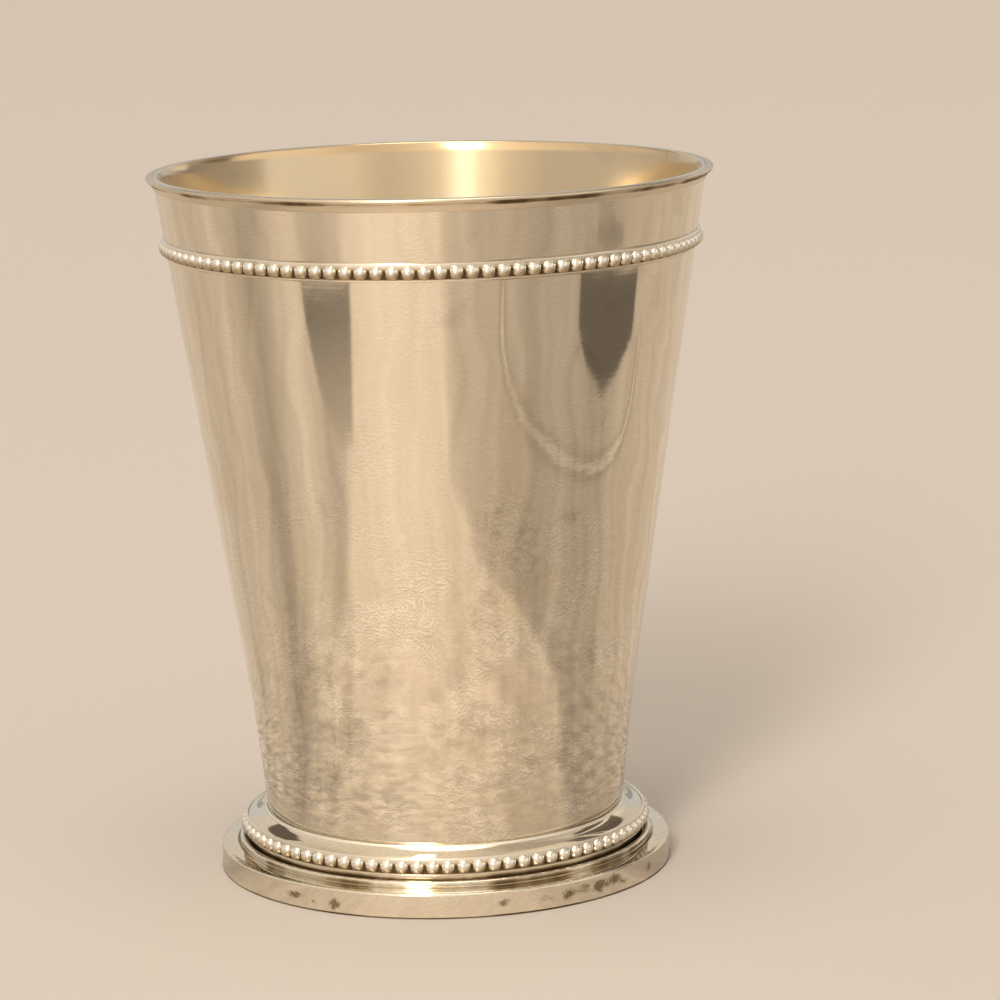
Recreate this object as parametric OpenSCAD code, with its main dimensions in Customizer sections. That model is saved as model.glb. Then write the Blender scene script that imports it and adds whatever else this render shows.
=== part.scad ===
// A mint julep cup in silver-plated brass. A tapered beaker is spun from sheet. A drawn wire with a
// flat top and a hollowed underside is soldered round its lip, and a beaded wire a little below the
// lip. The foot is a spun collar with a hollowed top, a second beaded wire round the collar, and a
// stepped base ring under it.
// Millimetres. The cup stands on z = 0 and turns about the z axis.

/* [Beaker] */
// Height of the lip above the table
cup_h = 103.5; // [96:0.5:112]
// Diameter over the wire round the lip
rim_d = 82.5; // [78:0.5:87]
// Thickness of the spun wall
wall_t = 0.75; // [0.6:0.05:1.1]
// Thickness of the floor
floor_t = 0.9; // [0.7:0.05:1.3]
// How much fuller the wall is at the foot than a straight taper
wall_ease = 0.75; // [0.3:0.05:0.9]
// Height above the foot at which the taper becomes straight
ease_h = 24; // [16:0.5:32]
// How far the beaker reaches down inside the foot
heel_sink = 3.75; // [3.3:0.05:4.1]
// Outer radius of the bend between wall and floor
heel_bend = 1.8; // [1.2:0.1:2.4]
// Inner radius of the bend between wall and floor
floor_bend = 1.2; // [0.8:0.1:1.8]
// Rounding of the lip's inner edge
lip_round = 0.3; // [0.15:0.05:0.45]

/* [Rim wire] */
// How far the wire stands out from the wall at the lip
rim_out = 0.92; // [0.7:0.02:1.2]
// Height of the wire
rim_h = 1.8; // [1.5:0.05:2.2]
// Radius of the wire's nose
rim_nose = 0.35; // [0.25:0.05:0.4]
// Thickness of the wire's lower edge
rim_edge = 0.12; // [0.1:0.02:0.2]
// How far the wire's underside is hollowed
rim_sag = 0.2; // [0.05:0.05:0.25]

/* [Beaded wires] */
// Diameter of one bead
bead_d = 2.1; // [1.8:0.05:2.4]
// Least gap wanted between neighbouring beads
bead_gap = 0.098; // [0.06:0.002:0.3]
// How far a bead stands out from the strip's back
bead_out = 0.95; // [0.8:0.05:1]
// Height of the flat strip that carries the beads
strip_h = 2.5; // [2.4:0.05:3]
// Thickness of the flat strip
strip_t = 0.3; // [0.2:0.05:0.5]
// From the top of the lip down to the middle of the upper beads
upper_bead_drop = 10.3; // [7:0.1:16]
// Direction in which the ends of the upper wire meet, in degrees
upper_join = -90; // [-180:0.1:180]
// Direction in which the ends of the foot wire meet, in degrees
foot_join = -87.5; // [-180:0.1:180]

/* [Foot collar] */
// Thickness of the collar's sheet
collar_t = 0.7; // [0.5:0.05:0.9]
// How far in from the base ring's edge the collar's side stands
collar_inset = 4.05; // [3.6:0.05:4.8]
// Width of the collar's top, from its side in to where a straight taper would meet it
shoulder_w = 3.7; // [3.3:0.05:4.4]
// Height of the straight side above the base ring's top
collar_h = 3.8; // [3.6:0.1:4.4]
// How much higher the collar is at the wall than at its shoulder
cove_rise = 1.2; // [0.8:0.05:1.5]
// How deep the top is hollowed below a straight slope
cove_sag = 0.2; // [0.05:0.05:0.3]
// How far the beaded strip stands up above the shoulder
strip_lip = 0.2; // [0.1:0.05:0.35]

/* [Base ring] */
// Diameter of the ring at the table
base_d = 67.2; // [62:0.1:73]
// Height of the ring's outer band
band_h = 3.65; // [3.2:0.05:4.2]
// Thickness of the band at the table
band_t = 1.2; // [0.9:0.05:1.6]
// How much further in the band is at its top than at the table
band_lean = 0.1; // [0.05:0.05:0.4]
// Rounding of the band's top edge
band_round = 0.35; // [0.2:0.05:0.5]
// Rounding of the band's edge at the table
base_round = 0.25; // [0.15:0.05:0.4]
// Thickness of the ring's flat top
flange_t = 0.9; // [0.7:0.05:1.2]
// How much higher the flat top is at the reed than at the band
flange_rise = 0.1; // [0.05:0.05:0.3]
// Width of the ledge that reaches in under the collar
ledge_w = 0.6; // [0.3:0.05:1]
// Diameter of the half-round reed on the ring's top
reed_d = 1; // [0.8:0.05:1.1]
// Gap between the collar's side and the reed
reed_gap = 0.3; // [0.15:0.05:0.5]
// How deep the reed's round is sunk in the ring's top
reed_sink = 0.05; // [0.03:0.01:0.15]

/* [Joints] */
// Thickness of the film of solder between two pieces
solder = 0.05; // [0.02:0.01:0.1]

/* [Hidden] */
$fn = 144;
bead_facets = 24;
ball_facets = 256;
bend_steps = 8;
cove_steps = 10;
ease_steps = 8;

silver = [0.80, 0.74, 0.63];
shaded_silver = [0.70, 0.64, 0.53];
bright_silver = [0.90, 0.86, 0.78];

// Heights, from the table up
flange_z = band_h + flange_rise;
collar_z = flange_z + solder;
shoulder_z = collar_z + collar_h;
crease_z = shoulder_z + cove_rise;
foot_bead_z = shoulder_z + strip_lip - strip_h / 2;
floor_z = crease_z - heel_sink;
upper_bead_z = cup_h - upper_bead_drop;

// Radii, and the taper of the wall as radius gained for each unit of height
base_r = base_d / 2;
collar_r = base_r - collar_inset;
taper_r = collar_r - shoulder_w;
lip_r = rim_d / 2 - rim_out - solder;
taper = (lip_r - taper_r) / (cup_h - crease_z);
slant = sqrt(1 + taper * taper);
taper_angle = atan(taper);

// Share of the extra fullness that is left at height z, from 0 where the taper is straight
function ease(z) = max(0, crease_z + ease_h - z) / ease_h;

// Outside radius of the wall at height z
function wall_r(z) = taper_r + (z - crease_z) * taper + wall_ease * ease(z) * ease(z);

// Points of the wall from height z0 to z1, at a depth inside its outside
function wall_points(z0, z1, depth) = [
    for (i = [0 : ease_steps])
        let (z = z0 + (z1 - z0) * i / ease_steps)
        [wall_r(z) - depth, z]
];

// The point of a round of radius r about [x, z] that lies in direction a
function round_point(x, z, r, a) = [x + r * cos(a), z + r * sin(a)];

// Points of a round of radius r about [x, z], from one direction to another
function bend(x, z, r, from, to) = [
    for (i = [0 : bend_steps])
        round_point(x, z, r, from + (to - from) * i / bend_steps)
];

// Points of a slope from [x0, z0] out to [x1, z1], hollowed downwards by a parabola
function cove(x0, z0, x1, z1, sag) = [
    for (i = [0 : cove_steps])
        let (t = i / cove_steps)
        [x0 + (x1 - x0) * t, z0 + (z1 - z0) * t - 4 * sag * t * (1 - t)]
];

// The beaker is one spun shell, floor and tapered wall, open at the top. Its wall is straight but for
// its lowest part, which is a little fuller.
module beaker() {
    straight_z = crease_z + ease_h;
    heel_z = floor_z + heel_bend;
    heel_x = wall_r(heel_z) - heel_bend * slant;
    top_of_floor = floor_z + floor_t;
    bend_z = top_of_floor + floor_bend;
    bend_x = wall_r(bend_z) - wall_t - floor_bend * slant;
    color(silver)
    rotate_extrude()
    polygon(concat(
        [[0, top_of_floor], [0, floor_z]],
        bend(heel_x, heel_z, heel_bend, -90, -taper_angle),
        wall_points(heel_z, straight_z, 0),
        [[lip_r, cup_h]],
        bend(lip_r - wall_t + lip_round, cup_h - lip_round, lip_round, 90, 180),
        wall_points(straight_z, bend_z, wall_t),
        bend(bend_x, bend_z, floor_bend, -taper_angle, -90)
    ));
}

// The rim wire has a flat back against the wall, a flat top flush with the lip, a round nose, and
// an underside that is hollowed the other way to the collar's top and runs out along the wall
module rim_wire() {
    low_z = cup_h - rim_h;
    back_x = wall_r(low_z) + solder;
    nose_x = rim_d / 2 - rim_nose;
    nose_z = cup_h - rim_nose;
    chin = round_point(nose_x, nose_z, rim_nose, -60);
    color(bright_silver)
    rotate_extrude()
    polygon(concat(
        [[lip_r + solder, cup_h], [back_x, low_z]],
        cove(back_x + rim_edge, low_z, chin[0], chin[1], -rim_sag),
        bend(nose_x, nose_z, rim_nose, -45, 90)
    ));
}

// A strip with a row of beads, wrapped round a wall that widens by lean for each unit of height.
// The strip's front and back are slices of two large balls with one centre on the cup's axis: a
// slice this low follows the taper closely, and a ball meets a ball in a true circle.
module beaded_wire(mid_z, wall, lean) {
    bulge = strip_h * strip_h / wall / 8;
    seat_r = wall + solder + bulge;
    back_r = seat_r * sqrt(1 + lean * lean);
    ring_r = seat_r + bead_out - bead_d / 2;
    beads = round(2 * PI * ring_r / (bead_d + bead_gap));
    translate([0, 0, mid_z])
    difference() {
        union() {
            rotate_extrude()
            intersection() {
                translate([0, seat_r * lean])
                circle(r = back_r + strip_t, $fn = ball_facets);
                translate([seat_r - bead_d, -strip_h / 2])
                square([2 * bead_d, strip_h]);
            }
            for (i = [0 : beads - 1])
                rotate([0, 0, (i + 0.5) * 360 / beads])
                translate([ring_r, 0, 0])
                rotate([0, 0, 180])
                sphere(d = bead_d, $fn = bead_facets);
        }
        translate([0, 0, seat_r * lean])
        sphere(r = back_r, $fn = ball_facets);
    }
}

module upper_beaded_wire() {
    color(bright_silver)
    rotate([0, 0, upper_join])
    beaded_wire(upper_bead_z, wall_r(upper_bead_z), taper);
}

module foot_beaded_wire() {
    color(bright_silver)
    rotate([0, 0, foot_join])
    beaded_wire(foot_bead_z, collar_r, 0);
}

// The collar is spun from sheet: a hollowed top that meets the wall, and a straight side
module foot_collar() {
    under_z = crease_z - collar_t;
    color(shaded_silver)
    rotate_extrude()
    polygon(concat(
        cove(wall_r(crease_z) + solder, crease_z, collar_r, shoulder_z, cove_sag),
        [[collar_r, collar_z], [collar_r - collar_t, collar_z]],
        cove(collar_r - collar_t, shoulder_z - collar_t, wall_r(under_z) + solder, under_z, cove_sag)
    ));
}

// The base ring is a drawn moulding: an upright band, a flat top, a reed, and a ledge that
// the collar stands on
module base_ring() {
    reed_r = reed_d / 2;
    reed_x = collar_r + reed_gap + reed_r;
    top_r = base_r - band_lean;
    lean_angle = atan(band_lean / (band_h - band_round - base_round));
    ledge_r = collar_r - collar_t - ledge_w;
    color(silver)
    rotate_extrude() {
        polygon(concat(
            [[base_r - band_t, 0]],
            bend(base_r - base_round, base_round, base_round, -90, lean_angle),
            bend(top_r - band_round, band_h - band_round, band_round, lean_angle, 90),
            [
                [reed_x, flange_z],
                [ledge_r, flange_z],
                [ledge_r, flange_z - flange_t],
                [top_r - band_t, flange_z - flange_t]
            ]
        ));
        translate([reed_x, flange_z + reed_r - reed_sink])
        circle(r = reed_r);
    }
}

beaker();
rim_wire();
upper_beaded_wire();
foot_collar();
foot_beaded_wire();
base_ring();
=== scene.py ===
# %% [markdown]
# # A mint julep cup, dressed for its picture
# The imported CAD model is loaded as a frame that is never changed. This file makes each of its
# six pieces again as a dense smooth surface, because polished metal shows every flat facet, and
# then makes the silver, the floor, the light and the camera.

# %% Load the frame
import math

import bpy
import numpy as np
from mathutils import Matrix


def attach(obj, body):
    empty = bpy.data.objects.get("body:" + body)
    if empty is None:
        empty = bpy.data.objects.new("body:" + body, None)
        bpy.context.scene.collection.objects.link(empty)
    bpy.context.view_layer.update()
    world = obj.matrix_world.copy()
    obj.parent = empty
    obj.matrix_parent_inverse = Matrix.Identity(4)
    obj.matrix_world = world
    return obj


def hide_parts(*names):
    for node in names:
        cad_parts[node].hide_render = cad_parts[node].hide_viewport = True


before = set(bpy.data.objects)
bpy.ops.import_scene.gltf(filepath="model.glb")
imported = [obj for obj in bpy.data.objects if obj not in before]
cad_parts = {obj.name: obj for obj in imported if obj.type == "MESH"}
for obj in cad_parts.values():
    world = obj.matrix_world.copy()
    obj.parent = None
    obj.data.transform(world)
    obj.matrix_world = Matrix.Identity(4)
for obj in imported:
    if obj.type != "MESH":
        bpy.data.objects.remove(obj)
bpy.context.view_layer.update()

MM = 0.001
print("CAD nodes:", sorted(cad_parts))

# %% [markdown]
# ## The camera
# A pinhole camera was fitted to the edges of the cup in the photograph. It stands 572 mm in
# front of the cup's axis and 162.5 mm above the table, and looks down by almost 11 degrees.
# The matrix is made from three directions at right angles: right, up and back.

# %% Place the camera
CAMERA_DISTANCE = 572.4
CAMERA_HEIGHT = 162.5
CAMERA_YAW = 0.0161
CAMERA_PITCH = 0.1872
CAMERA_ROLL = -0.0217
FOCAL_SHARE = 3.9385
SENSOR_MM = 36.0


def camera_matrix():
    """Forward is north turned right by the yaw and down by the pitch; right and up are then
    turned about it by the roll. The matrix's columns are right, up, minus forward, place."""
    forward = np.array([
        math.sin(CAMERA_YAW) * math.cos(CAMERA_PITCH),
        math.cos(CAMERA_YAW) * math.cos(CAMERA_PITCH),
        -math.sin(CAMERA_PITCH),
    ])
    level = np.cross(forward, [0.0, 0.0, 1.0])
    level /= np.linalg.norm(level)
    upright = np.cross(level, forward)
    right = math.cos(CAMERA_ROLL) * level + math.sin(CAMERA_ROLL) * upright
    up = math.cos(CAMERA_ROLL) * upright - math.sin(CAMERA_ROLL) * level
    place = np.array([0.0, -CAMERA_DISTANCE, CAMERA_HEIGHT]) * MM
    matrix = np.eye(4)
    matrix[:3, 0], matrix[:3, 1], matrix[:3, 2], matrix[:3, 3] = right, up, -forward, place
    return matrix


def add_object(name, data):
    """A new object in the scene that shows the data."""
    made = bpy.data.objects.new(name, data)
    bpy.context.scene.collection.objects.link(made)
    return made


camera = add_object("camera", bpy.data.cameras.new("camera"))
camera.matrix_world = Matrix(camera_matrix().tolist())
camera.data.sensor_width = SENSOR_MM
camera.data.lens = FOCAL_SHARE * SENSOR_MM
camera.data.clip_start, camera.data.clip_end = 0.01, 20.0
bpy.context.scene.camera = camera
print("lens in mm:", round(camera.data.lens, 1))

# %% [markdown]
# ## Sizes
# These are the sizes of the CAD model, in millimetres. The wall is a straight cone but for its
# lowest quarter, which is a little fuller.

# %% Sizes of the cup
CUP_H = 103.5
RIM_R = 41.25
LIP_R = 40.28
TAPER_R, CREASE_Z = 25.85, 8.8
WALL_EASE, EASE_H = 0.75, 24
WALL_T = 0.75
FLOOR_Z, FLOOR_T = 5.05, 0.9
TAPER = (LIP_R - TAPER_R) / (CUP_H - CREASE_Z)
SLANT = math.sqrt(1 + TAPER ** 2)
TAPER_DEG = math.degrees(math.atan(TAPER))


def wall_r(z):
    """Outside radius of the wall at height z: a straight taper, plus the square of the share of
    the lowest stretch that is still above z, times the ease."""
    share = np.maximum(0, CREASE_Z + EASE_H - z) / EASE_H
    return TAPER_R + (z - CREASE_Z) * TAPER + WALL_EASE * share ** 2


def wall_line(low, high, depth, steps):
    """Points up the wall between two heights, at a depth inside its outside."""
    z = np.linspace(low, high, steps + 1)
    return np.stack([wall_r(z) - depth, z], axis=1)


print("the wall leans out by", round(TAPER_DEG, 2), "degrees")

# %% [markdown]
# ## Turning a profile
# A spun or turned piece is one outline carried round an axis. The outline is written as a list
# of points (radius, height), with arcs where the real edge is rounded. The points run so that
# the metal is on the left, and then every face comes out pointing outwards.

# %% Outline helpers
def arc(r, z, radius, start, end, steps=8):
    """Points on a circle about (r, z): centre plus radius times (cos a, sin a), for angles a
    spaced evenly from start to end, in degrees."""
    a = np.radians(np.linspace(start, end, steps + 1))
    return np.stack([r + radius * np.cos(a), z + radius * np.sin(a)], axis=1)


def line(p, q, steps=1):
    """Points on the straight line from p to q: p plus a share t of the way, t from 0 to 1."""
    t = np.linspace(0, 1, steps + 1)[:, None]
    return np.asarray(p, float) + t * (np.asarray(q, float) - np.asarray(p, float))


def cove(p, q, sag, steps=14):
    """A straight line from p to q, pushed down by four times the sag times t (1 - t), which is a
    parabola. A sag below zero pushes it up."""
    slope = line(p, q, steps)
    t = np.linspace(0, 1, steps + 1)
    return slope - np.stack([0 * t, 4 * sag * t * (1 - t)], axis=1)


def outline(*parts):
    """Joins stretches of outline end to end and drops a point that repeats the one before."""
    points = np.concatenate([np.atleast_2d(part) for part in parts]).astype(float)
    step = np.linalg.norm(np.diff(points, axis=0), axis=1)
    return points[np.concatenate([[True], step > 1e-6])]


# %% The lathe
AROUND = 360


def lathe(points, wobble=None):
    """Turns an outline about the z axis: the point (r, z) at angle a goes to
    (r cos a, r sin a, z). Where the outline starts and ends on the axis, its two ends become
    one vertex each, with a fan of triangles. Any other outline is closed into a loop.
    wobble gives how far each point is pushed outwards, from its angle and height."""
    solid = points[0][0] == 0
    ring = points[1:-1] if solid else points
    a = np.arange(AROUND) * 2 * math.pi / AROUND
    r = np.repeat(ring[:, 0:1], AROUND, axis=1)
    z = np.repeat(ring[:, 1:2], AROUND, axis=1)
    if wobble is not None:
        r = r + wobble(a[None, :], z) * np.clip(r / 10, 0, 1)
    verts = np.stack([r * np.cos(a), r * np.sin(a), z], axis=2).reshape(-1, 3)
    rows, cols = len(ring), AROUND
    i = np.arange(rows - 1 if solid else rows)[:, None]
    j = np.arange(cols)[None, :]
    after_i, after_j = (i + 1) % rows, (j + 1) % cols
    corners = [i * cols + j, i * cols + after_j, after_i * cols + after_j, after_i * cols + j]
    quads = np.stack(np.broadcast_arrays(*corners), axis=2).reshape(-1, 4)
    fans = np.zeros((0, 3), int)
    if solid:
        first, last = len(verts), len(verts) + 1
        poles = [[0, 0, points[0][1]], [0, 0, points[-1][1]]]
        verts = np.concatenate([verts, poles])
        j, top = j[0], (rows - 1) * cols
        low = np.stack([np.full(cols, first), (j + 1) % cols, j], axis=1)
        high = np.stack([np.full(cols, last), top + j, top + (j + 1) % cols], axis=1)
        fans = np.concatenate([low, high])
    return verts, [quads, fans]


# %% Make a piece of the cup
def make_piece(name, verts, faces, body="root", slot=None, node=None, marks=None):
    """Puts arrays of corners (in mm) and faces into one smooth mesh, whose edges stay sharp
    where its faces meet at more than 35 degrees. marks are values per vertex, by name."""
    mesh = bpy.data.meshes.new(name)
    every = [face for group in faces for face in group.tolist()]
    mesh.from_pydata((verts * MM).tolist(), [], every)
    mesh.polygons.foreach_set("use_smooth", np.ones(len(every), bool))
    mesh.set_sharp_from_angle(angle=math.radians(35))
    for mark, values in (marks or {}).items():
        layer = mesh.attributes.new(mark, "FLOAT", "POINT")
        layer.data.foreach_set("value", np.asarray(values, np.float32))
    mesh.validate()
    mesh.update()
    piece = add_object(name, mesh)
    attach(piece, body)
    if node:
        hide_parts(node)
    spread = (verts.max(0) - verts.min(0)).round(2).tolist()
    print(name, "faces", len(every), "size in mm", spread)
    return piece


# %% [markdown]
# ## The beaker
# The real beaker is spun from a disc of sheet over a wooden or steel former, so its wall and
# floor are one skin of even thickness. Hand spinning leaves the wall very slightly wavy. The
# waves are only hundredths of a millimetre deep, but they bend the reflections, and that is
# how an eye tells hammered or spun silver from plastic. They are a sum of a few sine waves
# whose whole numbers of turns close round the cup without a seam.

# %% Waves left by spinning
WAVES = [
    # turns round the cup, turns over its height, depth in mm, phase
    (3, 0.4, 0.040, 0.6),
    (5, -0.7, 0.022, 2.1),
    (8, 0.9, 0.011, 4.0),
    (13, 1.6, 0.0045, 1.2),
    (21, -2.3, 0.0020, 5.1),
    (0, 5.5, 0.0080, 0.3),
    (2, 9.0, 0.0030, 3.3),
]


def spun_waves(angle, z):
    """How far the wall is pushed out: the sum of depth times the sine of (turns round times
    the angle, plus turns over the height times 2 pi z / height, plus the phase)."""
    total = 0
    for turns, rises, depth, phase in WAVES:
        total = total + depth * np.sin(turns * angle + rises * 2 * math.pi * z / CUP_H + phase)
    return total


# %% The beaker's skin
HEEL_BEND, FLOOR_BEND = 1.8, 1.2
LIP_EDGE, LIP_ROUND = 0.15, 0.3
# how far below the lip the wall's own curve ends, outside and inside
LIP_OUT, LIP_IN = 0.2, 0.4
WALL_ROWS_OUT, WALL_ROWS_IN = 110, 80


def beaker_outline():
    """From the axis along the underside, round the heel, up the outside, over the lip, down
    the inside, round the inner bend and back to the axis."""
    heel_z = FLOOR_Z + HEEL_BEND
    heel_r = wall_r(heel_z) - HEEL_BEND * SLANT
    top = FLOOR_Z + FLOOR_T
    bend_z = top + FLOOR_BEND
    bend_r = wall_r(bend_z) - WALL_T - FLOOR_BEND * SLANT
    heel = arc(heel_r, heel_z, HEEL_BEND, -90, -TAPER_DEG)
    bend = arc(bend_r, bend_z, FLOOR_BEND, -TAPER_DEG, -90)
    lip_out = arc(LIP_R - LIP_EDGE, CUP_H - LIP_EDGE, LIP_EDGE, -TAPER_DEG, 90, 4)
    lip_in = arc(LIP_R - WALL_T + LIP_ROUND, CUP_H - LIP_ROUND, LIP_ROUND, 90, 180)
    return outline(
        line((0, FLOOR_Z), heel[0], 6), heel,
        wall_line(heel_z, CUP_H - LIP_OUT, 0, WALL_ROWS_OUT), lip_out, lip_in,
        wall_line(bend_z, CUP_H - LIP_IN, WALL_T, WALL_ROWS_IN)[::-1], bend,
        line(bend[-1], (0, top), 10),
    )


STAINS = [
    # direction in degrees (0 in front, positive to the right), height, half width, half height,
    # depth
    (33, 56.9, 1.2, 0.9, 0.5), (36, 56.3, 0.9, 0.8, 0.7), (22, 52.0, 5.0, 7.0, 0.36),
    (14, 57.3, 3.5, 6.0, 0.30), (-32, 26.1, 2.8, 2.6, 0.6), (-34, 20.0, 2.6, 4.2, 0.42),
    (3, 26.4, 5.5, 3.0, 0.34), (45, 35.8, 3.0, 3.6, 0.36), (-41, 31.0, 2.4, 5.0, 0.36),
    (12, 44.0, 3.0, 4.0, 0.30), (120, 40, 5.0, 6.0, 0.4), (170, 60, 6.0, 4.0, 0.4),
    (-140, 30, 4.0, 5.0, 0.4), (-100, 70, 3.0, 5.0, 0.34),
]


def bells(verts, table, ring_r):
    """Adds up bell curves of the distance along a ring of the given radius and of the height."""
    angle = np.degrees(np.arctan2(verts[:, 0], -verts[:, 1]))
    total = np.zeros(len(verts))
    for direction, height, wide, high, depth in table:
        along = np.radians((angle - direction + 180) % 360 - 180) * ring_r
        total += depth * np.exp(-(along / wide) ** 2 - ((verts[:, 2] - height) / high) ** 2)
    return total


skin, skin_faces = lathe(beaker_outline(), spun_waves)
inside = np.hypot(skin[:, 0], skin[:, 1]) < wall_r(skin[:, 2]) - WALL_T / 2
inside &= skin[:, 2] > FLOOR_Z + FLOOR_T / 2
beaker = make_piece("beaker_skin", skin, skin_faces, slot="beaker_plate", node="beaker",
                    marks={"inside": inside, "spots_and_shade": bells(skin, STAINS, TAPER_R) * ~inside})

# %% [markdown]
# ## The rim wire
# A drawn wire is soldered round the lip and filed flush with it. Its section has a flat back and
# top, a small round nose, and a hollowed underside that runs out along the wall. A little solder
# fills the step at its thin lower edge.

# %% The rim wire and its solder
RIM_H, RIM_NOSE = 1.8, 0.35
RIM_EDGE, RIM_SAG = 0.17, 0.2
RIM_TURN, RIM_SOLDER = 0.3, 0.12
# left between two surfaces that touch, so that neither shows through the other
HAIR = 0.01


def rim_outline():
    """From the solder out along the hollowed underside, round the nose, back along the filed
    top, and down the hidden flat back."""
    low = CUP_H - RIM_H
    back = wall_r(low) + HAIR
    nose = arc(RIM_R - RIM_NOSE, CUP_H - RIM_NOSE, RIM_NOSE, -45, 90, 14)
    return outline(
        [(back, low - RIM_SOLDER)], cove((back + RIM_EDGE, low), nose[0], -RIM_SAG, 18), nose,
        line((LIP_R + RIM_TURN, CUP_H), (LIP_R + HAIR, CUP_H - 2 * HAIR)),
        line((wall_r(CUP_H - RIM_TURN) + HAIR, CUP_H - RIM_TURN), (back, low + 10 * HAIR)),
    )


rim_wire = make_piece("rim_wire_turned", *lathe(rim_outline()), slot="wire_plate", node="rim_wire")

# %% [markdown]
# ## The beaded wires
# Beaded wire is rolled between two engraved wheels, which press a row of half beads out of a
# flat strip. The strip is turned like the other pieces. Each bead is a dome: a pole, four rings
# of sixteen points and a flat back that is sunk in the strip. Pressed beads crowd each other, so
# seen from the front they are a little squarer than balls. All the beads are worked out in one
# sum over whole arrays.

# %% Bead and strip sizes
BEAD_D, BEAD_GAP, BEAD_OUT = 2.1, 0.098, 0.95
STRIP_H, STRIP_T, STRIP_EDGE = 2.5, 0.3, 0.09
SOLDER = 0.05
BEAD_RINGS = np.radians([20, 42, 63, 84])
BEAD_SIDES = 16
SQUARE, BULGE = 2.7, 0.85


def bead_row(count, ring_r, mid_z, join):
    """Every bead's centre is at its angle on the ring. A point of the dome is the centre plus
    the bead's radius times (cos p times outwards, plus sin p times (cos q along, sin q up)), where
    cos q and sin q are stretched until the sum of their powers is 1: the power 2 gives a circle
    and a higher one a squarer round. The power of sin p below 1 makes the dome bulge. Also
    returns p and the share along for every point."""
    a = np.radians(join) + (np.arange(count) + 0.5) * 2 * math.pi / count
    outward = np.stack([np.cos(a), np.sin(a), 0 * a], axis=1)
    along = np.stack([-np.sin(a), np.cos(a), 0 * a], axis=1)
    up = np.array([0, 0, 1.0])
    p = np.concatenate([[0], np.repeat(BEAD_RINGS, BEAD_SIDES)])
    q = np.concatenate([[0], np.tile(np.arange(BEAD_SIDES), len(BEAD_RINGS))])
    q = q * 2 * math.pi / BEAD_SIDES
    stretch = (np.abs(np.cos(q)) ** SQUARE + np.abs(np.sin(q)) ** SQUARE) ** (-1 / SQUARE)
    wide = np.sin(p) ** BULGE * stretch
    dome = (
        np.cos(p)[None, :, None] * outward[:, None, :]
        + (wide * np.cos(q))[None, :, None] * along[:, None, :]
        + (wide * np.sin(q))[None, :, None] * up
    )
    centre = ring_r * outward + mid_z * up
    verts = centre[:, None, :] + BEAD_D / 2 * dome
    return verts.reshape(-1, 3), np.tile(p, count), np.tile(wide * np.cos(q), count)


def bead_faces(count):
    """The faces of one dome, a fan at its pole, rings of four-sided faces and a flat back,
    repeated for every bead by adding its first vertex number."""
    k = np.arange(BEAD_SIDES)
    after = (k + 1) % BEAD_SIDES
    fan = np.stack([0 * k, 1 + k, 1 + after], axis=1)
    rings = len(BEAD_RINGS)
    start = 1 + np.arange(rings - 1)[:, None] * BEAD_SIDES
    quads = np.stack([
        start + k, start + BEAD_SIDES + k, start + BEAD_SIDES + after, start + after
    ], axis=2).reshape(-1, 4)
    back = (1 + (rings - 1) * BEAD_SIDES + k)[None, ::-1]
    first = np.arange(count) * (1 + rings * BEAD_SIDES)
    spread = [(first[:, None, None] + part).reshape(-1, part.shape[1]) for part in
              (fan, quads, back)]
    return spread


# %% Strip and beads as one piece
def strip_outline(wall, lean):
    """Up the strip's front between two rounded edges, and down its back. At each height the
    strip is as far out as the wall there, plus the solder, plus its own thickness."""
    def front(z):
        """How far out the strip's front is at a height above its middle."""
        return wall + SOLDER + STRIP_T + lean * z

    half, edge = STRIP_H / 2, STRIP_EDGE
    low_edge = arc(front(-half) - edge, -half + edge, edge, -90, 0, 3)
    high_edge = arc(front(half) - edge, half - edge, edge, 0, 90, 3)
    back_top = [(wall + HAIR + lean * half, half)]
    back_low = [(wall + HAIR - lean * half, -half)]
    return outline(low_edge, line(low_edge[-1], high_edge[0], 8), high_edge, back_top, back_low)


def beaded_wire(name, node, mid_z, wall, lean, join):
    """The strip and its row of beads. The mark called hollow is 0 where a thumb polishes and
    1 in the corners between the beads, where tarnish stays and shade is painted, most of all below
    them and on one side of them. The lower part of each bead has a painted shaded crescent, half
    as dark."""
    seat = wall + SOLDER + STRIP_H ** 2 / wall / 8
    ring_r = seat + BEAD_OUT - BEAD_D / 2
    count = round(2 * math.pi * ring_r / (BEAD_D + BEAD_GAP))
    strip, (strip_quads, _) = lathe(strip_outline(wall, lean))
    # between the beads the strip darkens below their tops: tarnish and painted shade
    strip_tarnish_and_shade = np.clip((1.15 + strip[:, 2]) / 0.15, 0, 1)
    strip_tarnish_and_shade *= np.clip((0.8 - strip[:, 2]) / 0.6, 0, 1)
    strip[:, 2] += mid_z
    beads, p, side = bead_row(count, ring_r, mid_z, join)
    high = (beads[:, 2] - mid_z) / (BEAD_D / 2)
    # each bead darkens near its base, below and on one side, and in a low crescent: tarnish and
    # painted shade
    corner_tarnish_and_shade = np.clip((p - 0.8) / 0.5, 0, 1) * np.clip(0.35 - 0.9 * high + 0.5 * side, 0, 1)
    shaded_crescent = 0.55 * np.clip((0.08 - high + 0.25 * side) / 0.4, 0, 1) * np.clip(p / 0.35, 0, 1)
    bead_tarnish_and_shade = np.maximum(corner_tarnish_and_shade, shaded_crescent)
    faces = [strip_quads] + [part + len(strip) for part in bead_faces(count)]
    marks = {"hollow": np.concatenate([strip_tarnish_and_shade, bead_tarnish_and_shade])}
    print(name, "beads", count)
    return make_piece(name, np.concatenate([strip, beads]), faces,
                      slot="beaded_wire_plate", node=node, marks=marks)


# %% Wrap both beaded wires
UPPER_BEAD_Z = 93.2
COLLAR_R = 29.55
FOOT_BEAD_Z = 6.55
UPPER_JOIN, FOOT_JOIN = -90, -87.5

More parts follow.
